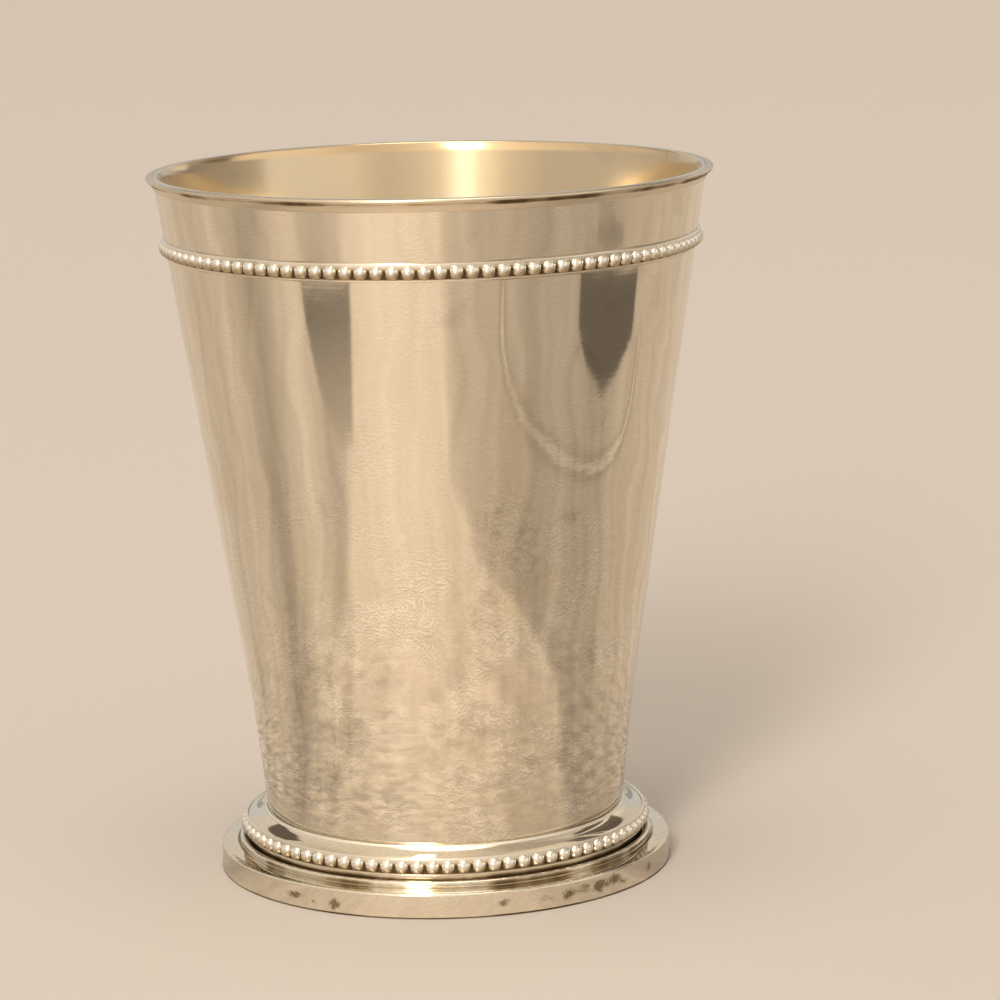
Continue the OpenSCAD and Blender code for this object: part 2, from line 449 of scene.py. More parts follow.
upper_wire = beaded_wire("upper_beads", "upper_beaded_wire", UPPER_BEAD_Z,
                         wall_r(UPPER_BEAD_Z), TAPER, UPPER_JOIN)
foot_wire = beaded_wire("foot_beads", "foot_beaded_wire", FOOT_BEAD_Z, COLLAR_R, 0, FOOT_JOIN)

# %% [markdown]
# ## The foot collar
# The collar is spun from sheet like the beaker. Its top is a shallow cove that rises a little
# where it meets the wall. The solder there is a thin bright line, made here as a small hollow
# round at the collar's inner edge whose colour is lightened as a painted highlight. The shoulder
# is softly rounded, because spinning can't leave a knife edge.

# %% The collar
COLLAR_T, COLLAR_Z, SHOULDER_Z = 0.7, 3.8, 7.6
COVE_SAG = 0.2
SHOULDER_ROUND, SOLDER_ROUND = 0.22, 0.32
SOLDER_DROP, SOLDER_RUN = 0.2, 0.1


def collar_outline():
    """Up the straight side, round the shoulder, in over the cove to the solder at the wall, and
    back down the hidden inside. The solder's round sweeps 75 degrees, so it starts 0.97 of its
    radius below its centre."""
    solder_z = CREASE_Z - SOLDER_DROP + 0.97 * SOLDER_ROUND
    wall = wall_r(solder_z)
    centre_r, centre_z = COLLAR_R - SHOULDER_ROUND, SHOULDER_Z - SHOULDER_ROUND
    shoulder = arc(centre_r, centre_z, SHOULDER_ROUND, 0, 100, 6)
    start = (wall + SOLDER_ROUND + SOLDER_RUN, CREASE_Z - SOLDER_DROP)
    hollow = cove(start, shoulder[-1], COVE_SAG)[::-1]
    solder = arc(wall + SOLDER_ROUND + 2 * HAIR, solder_z, SOLDER_ROUND, 255, 180, 8)
    under = cove((COLLAR_R - COLLAR_T, SHOULDER_Z - COLLAR_T),
                 (wall_r(CREASE_Z - COLLAR_T) + 2 * HAIR, CREASE_Z - COLLAR_T), COVE_SAG, 8)
    return outline(
        line((COLLAR_R, COLLAR_Z), shoulder[0], 4), shoulder, hollow, solder,
        under[::-1], [(COLLAR_R - COLLAR_T, COLLAR_Z)],
    )


ring, ring_faces = lathe(collar_outline())
at_wall = np.hypot(ring[:, 0], ring[:, 1]) < wall_r(CREASE_Z) + SOLDER_ROUND + SOLDER_RUN - HAIR
collar = make_piece("collar_turned", ring, ring_faces, slot="collar_plate", node="foot_collar",
                    marks={"solder": at_wall & (ring[:, 2] > CREASE_Z - SOLDER_DROP - 2 * HAIR)})

# %% [markdown]
# ## The base ring
# The base ring is a drawn moulding bent into a hoop. Its outer band is upright, the flat above it
# slopes up to a half-round reed, and a ledge reaches in under the collar. Its band is the part
# that a hand picks up, and it has tarnished in spots. Its flat has a few streaks of painted shade.

# %% The base ring
BASE_R, BAND_H, BAND_T, BAND_LEAN = 33.6, 3.65, 1.2, 0.1
BAND_ROUND, BASE_ROUND = 0.35, 0.25
FLANGE_T, FLANGE_Z, LEDGE_R = 0.9, 3.75, 28.25
REED_R, REED_GAP, REED_SINK = 0.5, 0.3, 0.05
REED_X = COLLAR_R + REED_GAP + REED_R
REED_Z = FLANGE_Z + REED_R - REED_SINK
FLAT_DROP = 0.1


def base_outline():
    """From the table up the outer band, over its rounded edge, along the sloped flat, over
    the reed, in along the ledge, and back down the hidden inside."""
    lean = math.degrees(math.atan(BAND_LEAN / (BAND_H - BAND_ROUND - BASE_ROUND)))
    top_r = BASE_R - BAND_LEAN
    foot = arc(BASE_R - BASE_ROUND, BASE_ROUND, BASE_ROUND, -90, lean, 6)
    edge = arc(top_r - BAND_ROUND, BAND_H - BAND_ROUND, BAND_ROUND, lean, 90, 8)
    dip = math.degrees(math.asin((REED_Z - FLANGE_Z) / REED_R))
    reed = arc(REED_X, REED_Z, REED_R, -dip, 180 + dip, 18)
    inner = [(LEDGE_R, FLANGE_Z), (LEDGE_R, FLANGE_Z - FLANGE_T),
             (top_r - BAND_T, FLANGE_Z - FLANGE_T), (BASE_R - BAND_T, 0)]
    return outline(foot, line(foot[-1], edge[0], 10), edge,
                   line(edge[-1], reed[0], 18), reed, inner)


SPOTS = [
    # as in STAINS
    (-48, 2.5, 1.0, 0.45, 0.6), (-41, 1.9, 1.3, 0.5, 0.95), (-35, 1.4, 0.7, 0.3, 0.6),
    (-29, 1.5, 0.85, 0.8, 1.0), (14, 1.9, 0.7, 0.6, 0.9), (25, 1.7, 1.6, 0.8, 0.5),
    (31, 1.8, 1.2, 0.9, 0.6), (36, 2.2, 1.4, 0.8, 0.8), (41, 1.9, 1.2, 0.9, 0.9),
    (46, 2.3, 1.3, 0.8, 1.0), (50, 1.5, 1.0, 0.5, 0.7), (62, 1.9, 1.2, 0.9, 0.75),
    (-118, 1.6, 1.2, 0.7, 0.8), (131, 2.2, 1.0, 0.6, 0.8), (171, 1.5, 0.9, 0.6, 0.7),
]
# streaks of painted shade on the flat
SHADE_STREAKS = [
    # direction in degrees, half width, radius, half width of the radius, depth
    (-55, 17, 32.9, 0.35, 1.0), (57, 15, 33.0, 0.25, 0.9), (150, 20, 32.9, 0.3, 0.8),
]


def spots_and_shade(verts):
    """The band has its tarnish spots, and the flat its streaks of painted shade. Each streak is a
    bell curve of the direction, raised to a flatter shape, and of the radius."""
    angle = np.degrees(np.arctan2(verts[:, 0], -verts[:, 1]))
    total = bells(verts, SPOTS, BASE_R)
    flat = verts[:, 2] > BAND_H - FLAT_DROP
    radius = np.hypot(verts[:, 0], verts[:, 1])
    for direction, wide, middle, broad, depth in SHADE_STREAKS:
        away = (angle - direction + 180) % 360 - 180
        streak = np.exp(-(away / wide) ** 4 - ((radius - middle) / broad) ** 2)
        total += depth * flat * streak
    return np.clip(total, 0, 1)


hoop, hoop_faces = lathe(base_outline())
base = make_piece("base_turned", hoop, hoop_faces, slot="base_plate", node="base_ring",
                  marks={"spots_and_shade": spots_and_shade(hoop)})

# %% [markdown]
# ## Silver
# Silver plate is a bare metal, so the shader is fully metallic and its colour is the colour of
# its reflections. What makes it look real is small: soft rings left by the spinning lathe, swells
# and curved strokes left by polishing, a warm blotchy tarnish, dark tarnish in corners that no
# cloth reaches, and painted shade in corners and under parts, along with painted light and shade
# on fine squiggles. Each effect is a node group with named inputs, used by every silver material
# with its own values.

# %% Helpers for node groups
def new_group(name, inputs, outputs):
    """A shader node group whose sockets are named floats; returns it with its two end nodes."""
    group = bpy.data.node_groups.new(name, "ShaderNodeTree")
    for label, value in inputs.items():
        socket = group.interface.new_socket(label, in_out="INPUT", socket_type="NodeSocketFloat")
        socket.default_value = value
    for label in outputs:
        group.interface.new_socket(label, in_out="OUTPUT", socket_type="NodeSocketFloat")
    return group, group.nodes.new("NodeGroupInput"), group.nodes.new("NodeGroupOutput")


class Wiring:
    """Adds nodes to one tree. A number given for an input is set on its socket, and a socket
    given for it is linked."""

    def __init__(self, tree):
        """Keeps the tree that the nodes go into."""
        self.tree = tree

    def put(self, socket, value):
        """Links value to the socket if it is a socket, and sets it there otherwise."""
        if isinstance(value, bpy.types.NodeSocket):
            self.tree.links.new(value, socket)
        else:
            socket.default_value = value

    def math(self, operation, *values, clamp=False):
        """One Math node, such as DIVIDE or MAXIMUM."""
        node = self.tree.nodes.new("ShaderNodeMath")
        node.operation, node.use_clamp = operation, clamp
        for socket, value in zip(node.inputs, values):
            self.put(socket, value)
        return node.outputs[0]

    def times(self, first, second):
        """The product of two values."""
        return self.math("MULTIPLY", first, second)

    def plus(self, first, second):
        """The sum of two values."""
        return self.math("ADD", first, second)

    def minus(self, first, second):
        """The first value less the second."""
        return self.math("SUBTRACT", first, second)

    def noise(self, vector, scale, detail=2.0, roughness=0.5, distortion=0.0):
        """Smooth noise between 0 and 1, about one blob for each 1 / scale of the vector."""
        node = self.tree.nodes.new("ShaderNodeTexNoise")
        for label, value in (("Vector", vector), ("Scale", scale), ("Detail", detail),
                             ("Roughness", roughness), ("Distortion", distortion)):
            self.put(node.inputs[label], value)
        return node.outputs["Fac"]

    def ramp(self, value, low, high, out_low=0.0, out_high=1.0):
        """Maps low..high to out_low..out_high along a soft S curve, and holds the ends."""
        node = self.tree.nodes.new("ShaderNodeMapRange")
        node.interpolation_type = "SMOOTHSTEP"
        for label, number in (("Value", value), ("From Min", low), ("From Max", high),
                              ("To Min", out_low), ("To Max", out_high)):
            self.put(node.inputs[label], number)
        return node.outputs["Result"]

    def mix(self, factor, first, second):
        """The first colour at factor 0, the second at factor 1."""
        node = self.tree.nodes.new("ShaderNodeMix")
        node.data_type = "RGBA"
        for place, value in ((0, factor), (6, first), (7, second)):
            self.put(node.inputs[place], value)
        return node.outputs[2]

    def vector(self, x, y, z):
        """Three values as one vector."""
        node = self.tree.nodes.new("ShaderNodeCombineXYZ")
        for socket, value in zip(node.inputs, (x, y, z)):
            self.put(socket, value)
        return node.outputs[0]

    def scaled(self, vector, factor):
        """A vector or colour with each of its values times the factor."""
        node = self.tree.nodes.new("ShaderNodeVectorMath")
        node.operation = "SCALE"
        self.put(node.inputs[0], vector)
        self.put(node.inputs["Scale"], factor)
        return node.outputs[0]

    def parts(self, vector):
        """A vector's three values."""
        node = self.tree.nodes.new("ShaderNodeSeparateXYZ")
        self.put(node.inputs[0], vector)
        return node.outputs

    def mark(self, name):
        """A value that the mesh carries at its vertices."""
        node = self.tree.nodes.new("ShaderNodeAttribute")
        node.attribute_name = name
        return node.outputs["Fac"]

    def place(self):
        """The point on the piece, in metres, in the cup's own frame."""
        return self.tree.nodes.new("ShaderNodeTexCoord").outputs["Object"]

    def around(self):
        """The point as (x / r, y / r), r and z, where r is its distance from the cup's axis. The
        first two turn with the angle and have no seam."""
        x, y, z = self.parts(self.place())
        square = self.plus(self.times(x, x), self.times(y, y))
        r = self.math("SQRT", self.math("MAXIMUM", square, 1e-12))
        return self.math("DIVIDE", x, r), self.math("DIVIDE", y, r), r, z


# %% [markdown]
# ### Lathe rings
# A spinning tool touches the turning sheet at one point and draws rings. A ring has one radius
# and one height, so noise that reads only those two is the same all the way round. A little of
# the direction is mixed in, because no ring is even.

# %% The lathe rings group
FINE_SHARE, COARSE_SHARE, COARSE_SCALE = 0.35, 0.65, 0.16


def lathe_rings():
    """Height is noise of (r + z) at a fine and a coarse scale, stirred slightly by direction."""
    group, start, end = new_group("lathe rings", {"Rings per mm": 1.6, "Stir": 0.05}, ["Height"])
    wire = Wiring(group)
    dx, dy, r, z = wire.around()
    across = wire.times(wire.plus(r, z), 1 / MM)
    scaled = wire.times(across, start.outputs["Rings per mm"])
    stir = start.outputs["Stir"]
    rings = wire.vector(wire.times(dx, stir), wire.times(dy, stir), scaled)
    fine = wire.noise(rings, 1.0, detail=3.0, roughness=0.6)
    coarse = wire.noise(rings, COARSE_SCALE, detail=1.0)
    mixed = wire.plus(wire.times(fine, FINE_SHARE), wire.times(coarse, COARSE_SHARE))
    wire.put(end.inputs["Height"], mixed)
    return group


RINGS = lathe_rings()

# %% [markdown]
# ### Rubbed plate
# Years of polishing leave two things that an eye sees before any scratch. The surface swells and
# sinks by about a hundredth of a millimetre every few millimetres, so straight reflections come
# back rippled. And the rubbing leaves curved strokes, broad ones and fine ones, that are a shade
# lighter or darker. The fine ones are squiggles with a painted lit side and a painted shaded side.

# %% The rubbed plate group
# scales of the strokes and squiggles, as a multiple of the swell's
STROKE_SCALE, SQUIGGLE_SCALE = 1.7, 1.9
# how much flatter the squiggles are, how far below each its painted shadow lies, and their half
# width
SQUIGGLE_FLATTER, SQUIGGLE_SHADOW, SQUIGGLE_HALF = 1.5, 0.2 * MM, 0.085
PATCHES_PER_M = 95.0
# heights in metres between which the rubbing gets weaker, and what is left above
NEAR_FOOT, ON_WALL = (0.040, 0.085), 0.42


def rubbed_plate():
    """Swell is stirred noise with blobs of about 4 mm. Ripple is the same, but weaker up the wall.
    Strokes is noise of about 2 mm whose point is first pushed about by a slower noise, which bends
    its blobs into hooks and waves. Light is 1 where another noise passes through its middle value,
    which draws thin squiggles, and Dark is the same 0.2 mm lower, so each squiggle has a painted
    lit side and a painted shaded side. They come in patches. All but Swell are strongest near the
    foot, where a hand holds the cloth bunched."""
    group, start, end = new_group(
        "rubbed plate", {"Blobs per m": 260.0}, ["Swell", "Ripple", "Strokes", "Light", "Dark"]
    )
    wire = Wiring(group)
    place = wire.place()
    x, y, z = wire.parts(place)
    scale = start.outputs["Blobs per m"]
    swell = wire.noise(place, scale, detail=2.0, roughness=0.45, distortion=0.8)
    strokes = wire.noise(place, wire.times(scale, STROKE_SCALE), detail=2.5, roughness=0.6,
                         distortion=3.5)
    low = wire.ramp(z, *NEAR_FOOT, 1.0, ON_WALL)
    where = wire.noise(place, PATCHES_PER_M, detail=2.0, roughness=0.6)
    patches = wire.times(wire.ramp(where, 0.40, 0.62, 0.12, 1.0), low)
    for label, drop in (("Light", 0.0), ("Dark", SQUIGGLE_SHADOW)):
        point = wire.vector(x, y, wire.times(wire.plus(z, drop), SQUIGGLE_FLATTER))
        fine = wire.noise(point, wire.times(scale, SQUIGGLE_SCALE), detail=1.2, distortion=2.2)
        off = wire.math("ABSOLUTE", wire.minus(fine, 0.5))
        line = wire.ramp(off, 0.0, SQUIGGLE_HALF, 1.0, 0.0)
        wire.put(end.inputs[label], wire.times(line, patches))
    wire.put(end.inputs["Swell"], swell)
    wire.put(end.inputs["Ripple"], wire.times(swell, low))
    wire.put(end.inputs["Strokes"], wire.times(wire.ramp(strokes, 0.38, 0.66), low))
    return group


RUBBED = rubbed_plate()

# %% [markdown]
# ### Tarnish
# Silver tarnishes yellow, then brown, in soft clouds that handling and polishing leave uneven.
# Broad upright bands come from wiping the cup from lip to foot. Small dark freckles stay where
# the plate is pitted.

# %% The tarnish group
SPECKS_PER_M, PITTED_PER_M, SMUDGES_PER_M = 520.0, 60.0, 125.0
SPECK_SHARE, PITTED_SHARE = 0.6, 0.4
BAND_RISE = 4.0


def tarnish():
    """Cloud is broad noise of the place. Band is noise of the direction and, much less, of the
    height, so it runs up the wall. Freckle is fine noise plus broad noise, kept only where their
    sum is highest. Smudge is noise with blobs of about 8 mm, kept in a few spots."""
    group, start, end = new_group(
        "tarnish", {"Cloud per m": 45.0, "Bands": 3.0, "Freckle": 0.72, "Smudge": 0.62},
        ["Cloud", "Band", "Freckle", "Smudge"],
    )
    wire = Wiring(group)
    dx, dy, _, z = wire.around()
    place = wire.place()
    per_m, bands, pitted, smudged = start.outputs[:4]
    cloud = wire.noise(place, per_m, detail=4.0, roughness=0.6, distortion=0.6)
    rise = wire.times(z, BAND_RISE)
    band = wire.noise(wire.vector(dx, dy, rise), bands, detail=5.0, roughness=0.6)
    speck = wire.noise(place, SPECKS_PER_M, detail=3.0, roughness=0.65)
    where = wire.noise(place, PITTED_PER_M, detail=1.0)
    both = wire.plus(wire.times(speck, SPECK_SHARE), wire.times(where, PITTED_SHARE))
    freckle = wire.ramp(both, pitted, wire.plus(pitted, 0.05))
    spot = wire.noise(place, SMUDGES_PER_M, detail=3.0, roughness=0.55, distortion=0.4)
    smudge = wire.ramp(spot, smudged, wire.plus(smudged, 0.10))
    wire.put(end.inputs["Cloud"], wire.ramp(cloud, 0.35, 0.7))
    wire.put(end.inputs["Band"], wire.ramp(band, 0.32, 0.68))
    wire.put(end.inputs["Freckle"], freckle)
    wire.put(end.inputs["Smudge"], smudge)
    return group


TARNISH = tarnish()

# %% [markdown]
# ### Dark lines
# A thin dark line runs round a piece at one height or radius. Where two pieces are soldered it is
# dirt and tarnish in the corner. Under the rim's nose, under the foot's beads and beside the reed
# it is painted shade as well as tarnish, and where the base ring stands on the table it is a
# painted shadow. It gets thicker and thinner on its way round.

# %% The dark line group
def dark_line():
    """Line is 1 within the half width of one height and 0 beyond. Radius 1 measures the distance
    from the axis instead of the height. The width is first multiplied by noise of the direction."""
    group, start, end = new_group(
        "dark_line", {"At mm": 0.0, "Half width mm": 0.2, "Radius": 0.0, "Turns": 2.6, "Least": 0.25},
        ["Line"],
    )
    wire = Wiring(group)
    dx, dy, r, z = wire.around()
    upright = wire.times(z, wire.minus(1.0, start.outputs["Radius"]))
    along = wire.plus(wire.times(r, start.outputs["Radius"]), upright)
    away = wire.minus(wire.times(along, 1 / MM), start.outputs["At mm"])
    turn = wire.vector(dx, dy, 0.0)
    uneven = wire.noise(turn, start.outputs["Turns"], detail=4.0, roughness=0.55)
    swing = wire.ramp(uneven, 0.36, 0.60, start.outputs["Least"], 1.0)
    width = wire.times(start.outputs["Half width mm"], swing)
    near = wire.math("DIVIDE", wire.math("ABSOLUTE", away), width)
    line = wire.times(wire.ramp(near, 0.45, 1.05, 1.0, 0.0), swing)
    wire.put(end.inputs["Line"], line)
    return group


DARK_LINE = dark_line()

# %% [markdown]
# ### The silver material
# Each state of the plate is one colour: clean, bright, pale, worn, gilt, warm with tarnish, in the
# shade of a stroke, smudged, brown, and dark in a corner. Bright also serves as painted light, and
# smudged, brown and dark as painted shade. The masks of the groups mix them.
# Tarnish is also a little rougher than clean plate. Rings and swells go into one Bump node, with
# depths of up to about a hundredth of a millimetre.

# %% The silver material
PLATE = (0.84, 0.765, 0.63, 1)
BRIGHT = (0.98, 0.92, 0.80, 1)
PALE = (0.90, 0.87, 0.82, 1)
GILT = (0.82, 0.585, 0.33, 1)
WARM = (0.74, 0.62, 0.44, 1)
SHADE = (0.62, 0.535, 0.40, 1)
WORN = (0.70, 0.60, 0.45, 1)
# the smudged colour, also used for the painted shade streaks on the base ring's flat
SMUDGE_AND_SHADE = (0.27, 0.215, 0.13, 1)
# brown and the dark corner colour carry both tarnish and painted shade
BROWN = (0.50, 0.385, 0.23, 1)
CORNER = (0.11, 0.072, 0.032, 1)
DULL = (0.66, 0.595, 0.46, 1)
# how much rougher the plate is with tarnish, dirt and solder, and inside, first and later
ROUGH_WARM, ROUGH_DIRT, ROUGH_SOLDER, ROUGH_INSIDE, ROUGH_AGAIN = 0.04, 0.35, 0.35, 0.08, 0.22
# shares of pale on later bounces and of freckles in the dirt and shade, and how dirt and painted
# shade turn brown and dark
PALE_SHARE, FRECKLE_SHARE, BROWN_GAIN, CORNER_FROM = 0.8, 0.7, 1.6, 0.45


def silver(name, clean=PLATE, ring_depth=0.004, swell_depth=0.012, rough=0.05, warm=0.6,
           strokes=0.25, squiggles=0.5, smudges=0.0, spots_and_shade=0.0, hollow=0.0, gilt=0.0, solder=0.0,
           dark_lines=(), rings_per_mm=1.6):
    """Base Color is the clean plate, mixed to gilt inside the cup, to warm by cloud and band, to
    shade by strokes and by the painted shaded sides of squiggles, to bright by their painted lit
    sides, and to smudge by smudges and spots, among which the base ring's flat has streaks of
    painted shade. The solder mark lightens it to bright, a painted highlight. Dirt and shade is the
    most of freckles, dark lines and the mark called hollow, the last two partly tarnish and partly
    painted shade: a little of it turns the plate brown, and much of it to corner. Roughness rises
    with tarnish, dirt and shade.
    A ray that has already come off silver sees a paler plate, and the second time inside the cup a
    duller one, or corners would glow orange."""
    material = bpy.data.materials.new(name)
    material.use_nodes = True
    tree = material.node_tree
    wire = Wiring(tree)
    shader = tree.nodes["Principled BSDF"]
    shader.inputs["Metallic"].default_value = 1.0

    def use(group, values=None):
        """One node of a group, with its own values; returns its outputs."""
        node = tree.nodes.new("ShaderNodeGroup")
        node.node_tree = group
        for label, value in (values or {}).items():
            node.inputs[label].default_value = value
        return node.outputs

    stain, rubbed = use(TARNISH), use(RUBBED)
    rings = use(RINGS, {"Rings per mm": rings_per_mm})["Height"]
    half = wire.plus(wire.times(stain["Cloud"], 0.5), wire.times(stain["Band"], 0.5))
    warmth = wire.times(half, warm)
    colour = clean
    if gilt:
        colour = wire.mix(wire.times(wire.mark("inside"), gilt), colour, GILT)
    colour = wire.mix(warmth, colour, WARM)
    colour = wire.mix(wire.times(rubbed["Strokes"], strokes), colour, SHADE)
    if gilt:
        squiggles = wire.times(wire.minus(1.0, wire.mark("inside")), squiggles)
    # painted shade below each squiggle and, on the next line, a painted highlight on it
    colour = wire.mix(wire.times(rubbed["Dark"], squiggles), colour, SHADE)
    colour = wire.mix(wire.times(rubbed["Light"], squiggles), colour, BRIGHT)
    if smudges:
        colour = wire.mix(wire.times(stain["Smudge"], smudges), colour, SMUDGE_AND_SHADE)
    # tarnish spots, and on the base ring's flat streaks of painted shade
    if spots_and_shade:
        ragged = wire.times(wire.ramp(rubbed["Swell"], 0.35, 0.6, 0.6, 1.0),
                            wire.ramp(rubbed["Strokes"], 0.0, 0.8, 0.55, 1.0))
        spots_and_shade_mask = wire.ramp(wire.times(wire.mark("spots_and_shade"), ragged), 0.08, 0.50)
        colour = wire.mix(wire.times(spots_and_shade_mask, spots_and_shade), colour, SMUDGE_AND_SHADE)
    path = tree.nodes.new("ShaderNodeLightPath")
    again = wire.math("GREATER_THAN", path.outputs["Glossy Depth"], 0.5)
    colour = wire.mix(wire.times(again, PALE_SHARE), colour, PALE)
    if gilt:
        second = wire.math("COMPARE", path.outputs["Glossy Depth"], 1.0, 0.5)
        colour = wire.mix(wire.times(second, wire.mark("inside")), colour, DULL)
    # the solder mark lightens the plate: a painted highlight on the solder's round
    if solder:
        colour = wire.mix(wire.times(wire.mark("solder"), solder), colour, BRIGHT)
    dirt_and_shade = wire.times(stain["Freckle"], FRECKLE_SHARE)
    # the mark called hollow on the beads is tarnish and painted shade
    if hollow:
        dirt_and_shade = wire.math("MAXIMUM", dirt_and_shade, wire.times(wire.mark("hollow"), hollow))
    for at, width, depth, radius, least in dark_lines:
        line = use(DARK_LINE, {"At mm": at, "Half width mm": width, "Radius": radius, "Least": least})
        dirt_and_shade = wire.math("MAXIMUM", dirt_and_shade, wire.times(line["Line"], depth))
    colour = wire.mix(wire.math("MULTIPLY", dirt_and_shade, BROWN_GAIN, clamp=True), colour, BROWN)
    colour = wire.mix(wire.ramp(dirt_and_shade, CORNER_FROM, 1.0), colour, CORNER)
    tree.links.new(colour, shader.inputs["Base Color"])
    roughness = wire.plus(wire.times(warmth, ROUGH_WARM), rough)
    roughness = wire.plus(roughness, wire.times(dirt_and_shade, ROUGH_DIRT))
    if gilt:
        dull = wire.plus(wire.times(again, ROUGH_AGAIN), ROUGH_INSIDE)
        roughness = wire.plus(roughness, wire.times(wire.mark("inside"), dull))
    if solder:
        roughness = wire.plus(roughness, wire.times(wire.mark("solder"), ROUGH_SOLDER))
    wire.put(shader.inputs["Roughness"], roughness)
    bump = tree.nodes.new("ShaderNodeBump")
    bump.inputs["Distance"].default_value = MM
    swell = wire.times(rubbed["Ripple"], swell_depth)
    wire.put(bump.inputs["Height"], wire.plus(wire.times(rings, ring_depth), swell))
    tree.links.new(bump.outputs["Normal"], shader.inputs["Normal"])
    return material


# %% Silver on every piece
# a dark line: height or radius in mm, half width in mm, depth, 1 if it is a radius, least share
BEAKER_SEAMS = [
    (UPPER_BEAD_Z + STRIP_H / 2 + 0.1, 0.16, 0.5, 0, 0.25),
    (UPPER_BEAD_Z - STRIP_H / 2 - 0.08, 0.16, 0.6, 0, 0.25),
]
# painted shade, with tarnish, along the underside and nose of the rim wire
RIM_TARNISH_AND_SHADE = [(CUP_H - 0.75, 0.45, 0.95, 0, 0.3)]
# painted shade under the foot's beads, with tarnish at the joint below
COLLAR_TARNISH_AND_SHADE = [(COLLAR_Z + 0.7, 0.85, 0.9, 0, 0.7)]
BASE_TARNISH_AND_SHADE = [
    # a painted shadow where the ring stands on the table
    (0.10, 0.26, 0.95, 0, 0.75),
    # painted shade, with tarnish, in the creases on either side of the reed
    (REED_X + 0.62, 0.3, 0.85, 1, 0.45),
    (REED_X - 0.6, 0.42, 0.95, 1, 0.7),
]
beaker_silver = silver("spun silver plate", gilt=1.0, smudges=0.14, strokes=0.3, squiggles=0.75,
                       spots_and_shade=0.34, dark_lines=BEAKER_SEAMS)
wire_silver = silver("rim wire silver plate", clean=WORN, ring_depth=0.001, swell_depth=0.004,
                     rough=0.24, warm=0.4, squiggles=0.0, dark_lines=RIM_TARNISH_AND_SHADE)
bead_silver = silver("beaded wire silver plate", clean=BRIGHT, ring_depth=0.0, swell_depth=0.0,
                     rough=0.2, warm=0.25, strokes=0.08, squiggles=0.0, hollow=1.0)
collar_silver = silver("collar silver plate", ring_depth=0.0008, swell_depth=0.006, warm=0.45,
                       rings_per_mm=3.0, squiggles=0.15, smudges=0.2, solder=0.9,
                       dark_lines=COLLAR_TARNISH_AND_SHADE)
base_silver = silver("base ring silver plate", ring_depth=0.0008, swell_depth=0.006, warm=0.45,
                     rings_per_mm=3.0, squiggles=0.4, smudges=0.25, spots_and_shade=1.0, dark_lines=BASE_TARNISH_AND_SHADE)
for piece, material in ((beaker, beaker_silver), (rim_wire, wire_silver), (upper_wire, bead_silver),
                        (foot_wire, bead_silver), (collar, collar_silver), (base, base_silver)):
    piece.data.materials.append(material)
print("materials:", [m.name for m in bpy.data.materials])

# %% [markdown]
# ## The room
# A plain pale floor runs on past the picture's edges. A polished cup shows its surroundings, and
# a bare studio would leave it as even as plastic. So the cup sees more than the camera does: in
# its reflections the flat floor is painted with the light and shade of the soft folds of a draped
# cloth, and with two painted dark patches between them, as in the photograph. The camera itself
# sees the plain floor.

# %% Painted light and shade of the cloth's folds
FLOOR_COLOUR = (0.51, 0.462, 0.424, 1)
CLOTH_GAIN, CLOTH_TONE, NEAR_TONE = 1.22, 0.69, 0.82
# painted light and shade of broad folds, seen only in reflections
FOLD_SHADING = [
    # direction in degrees (0 in front, positive to the right), half width, change of tone
    (-17, 24, 0.175), (-62, 8, 0.18), (-81, 7, -0.19), (-104, 8, 0.10), (-47, 4, -0.08),
    (42, 10, -0.08), (60, 26, -0.10), (76, 10, -0.10), (118, 14, 0.04), (150, 20, 0.12),
    (-150, 20, 0.12),
]
NARROW_FOLD_SHADING = [
    # turns round the cup, radians in each mm outwards, change of tone, phase
    (19, 0.010, 0.026, 0.4), (33, -0.014, 0.026, 2.0), (58, 0.02, 0.018, 4.4),
    (97, -0.03, 0.009, 1.1),
]
# the narrow folds wander: radians sideways, radians in each mm outwards, turns, phase
WANDER = [(0.05, 0.052, 3, 0.0), (0.028, 0.117, -5, 2.0)]
# the sheen's two edges: distances from the axis in mm, and the direction of the edge at each
SHEEN_LEFT = ([90, 117, 145, 184, 237], [-56, -47, -42, -38, -36])
SHEEN_RIGHT = ([85, 101, 114, 127, 156, 230], [63, 50, 36, 18, 7, 5])
# how light the sheen and the line at its right edge are, and their soft widths in degrees
SHEEN, SOFT_LEFT, SOFT_RIGHT = 0.25, 7, 11
SHEEN_LINE, LINE_AT, LINE_HALF = 0.12, -2, 1.4
# painted light on a ridge and painted shade beside it: change of tone, distance from the ridge,
# half width
RIDGE_LIGHT_AND_SHADE = [(0.36, 0.0, 1.5), (-0.26, 3.8, 1.7)]
# the ridge and the corners of the painted dark patches as seen from above, (x, y) in mm
RIDGE = [(113, -204), (105, -188), (103, -169), (112, -147), (137, -108), (157, -73), (179, -24),
         (201, 20), (223, 44), (269, 64)]
RIGHT_DARK_PATCH = [(238, -117), (216, -105), (205, -77), (208, -39), (228, -7), (266, 34), (303, 37),
                 (277, -49)]
ZIGZAG_DARK_PATCHES = [[(273, -91), (285, -96), (296, -69), (289, -55)],
          [(289, -55), (296, -69), (308, -62), (312, -27), (305, -23)]]
LEFT_DARK_PATCH = [(-136, -203), (-213, -143), (-184, -133), (-149, -126), (-118, -127), (-106, -141)]
# how light the cloth is in the painted dark patches (by distance in the left one), and their soft
# edges
RIGHT_TONE, ZIGZAG_TONE, LEFT_TONES = 0.16, 0.36, ([172, 245], [0.62, 0.24])
RIGHT_SOFT, ZIGZAG_SOFT, LEFT_SOFT = 4, 3, 6
# the painted folds fade towards the foot, which stands in a painted shade but in front: places,
# soft widths
FOLDS_LEAST, FOLDS_GAIN, FOLDS_START = 0.55, 0.45, (75, 70)
FOOT_SHADE, SHADE_END, SHADE_SIDES = 0.10, (84, 60), (26, 24)


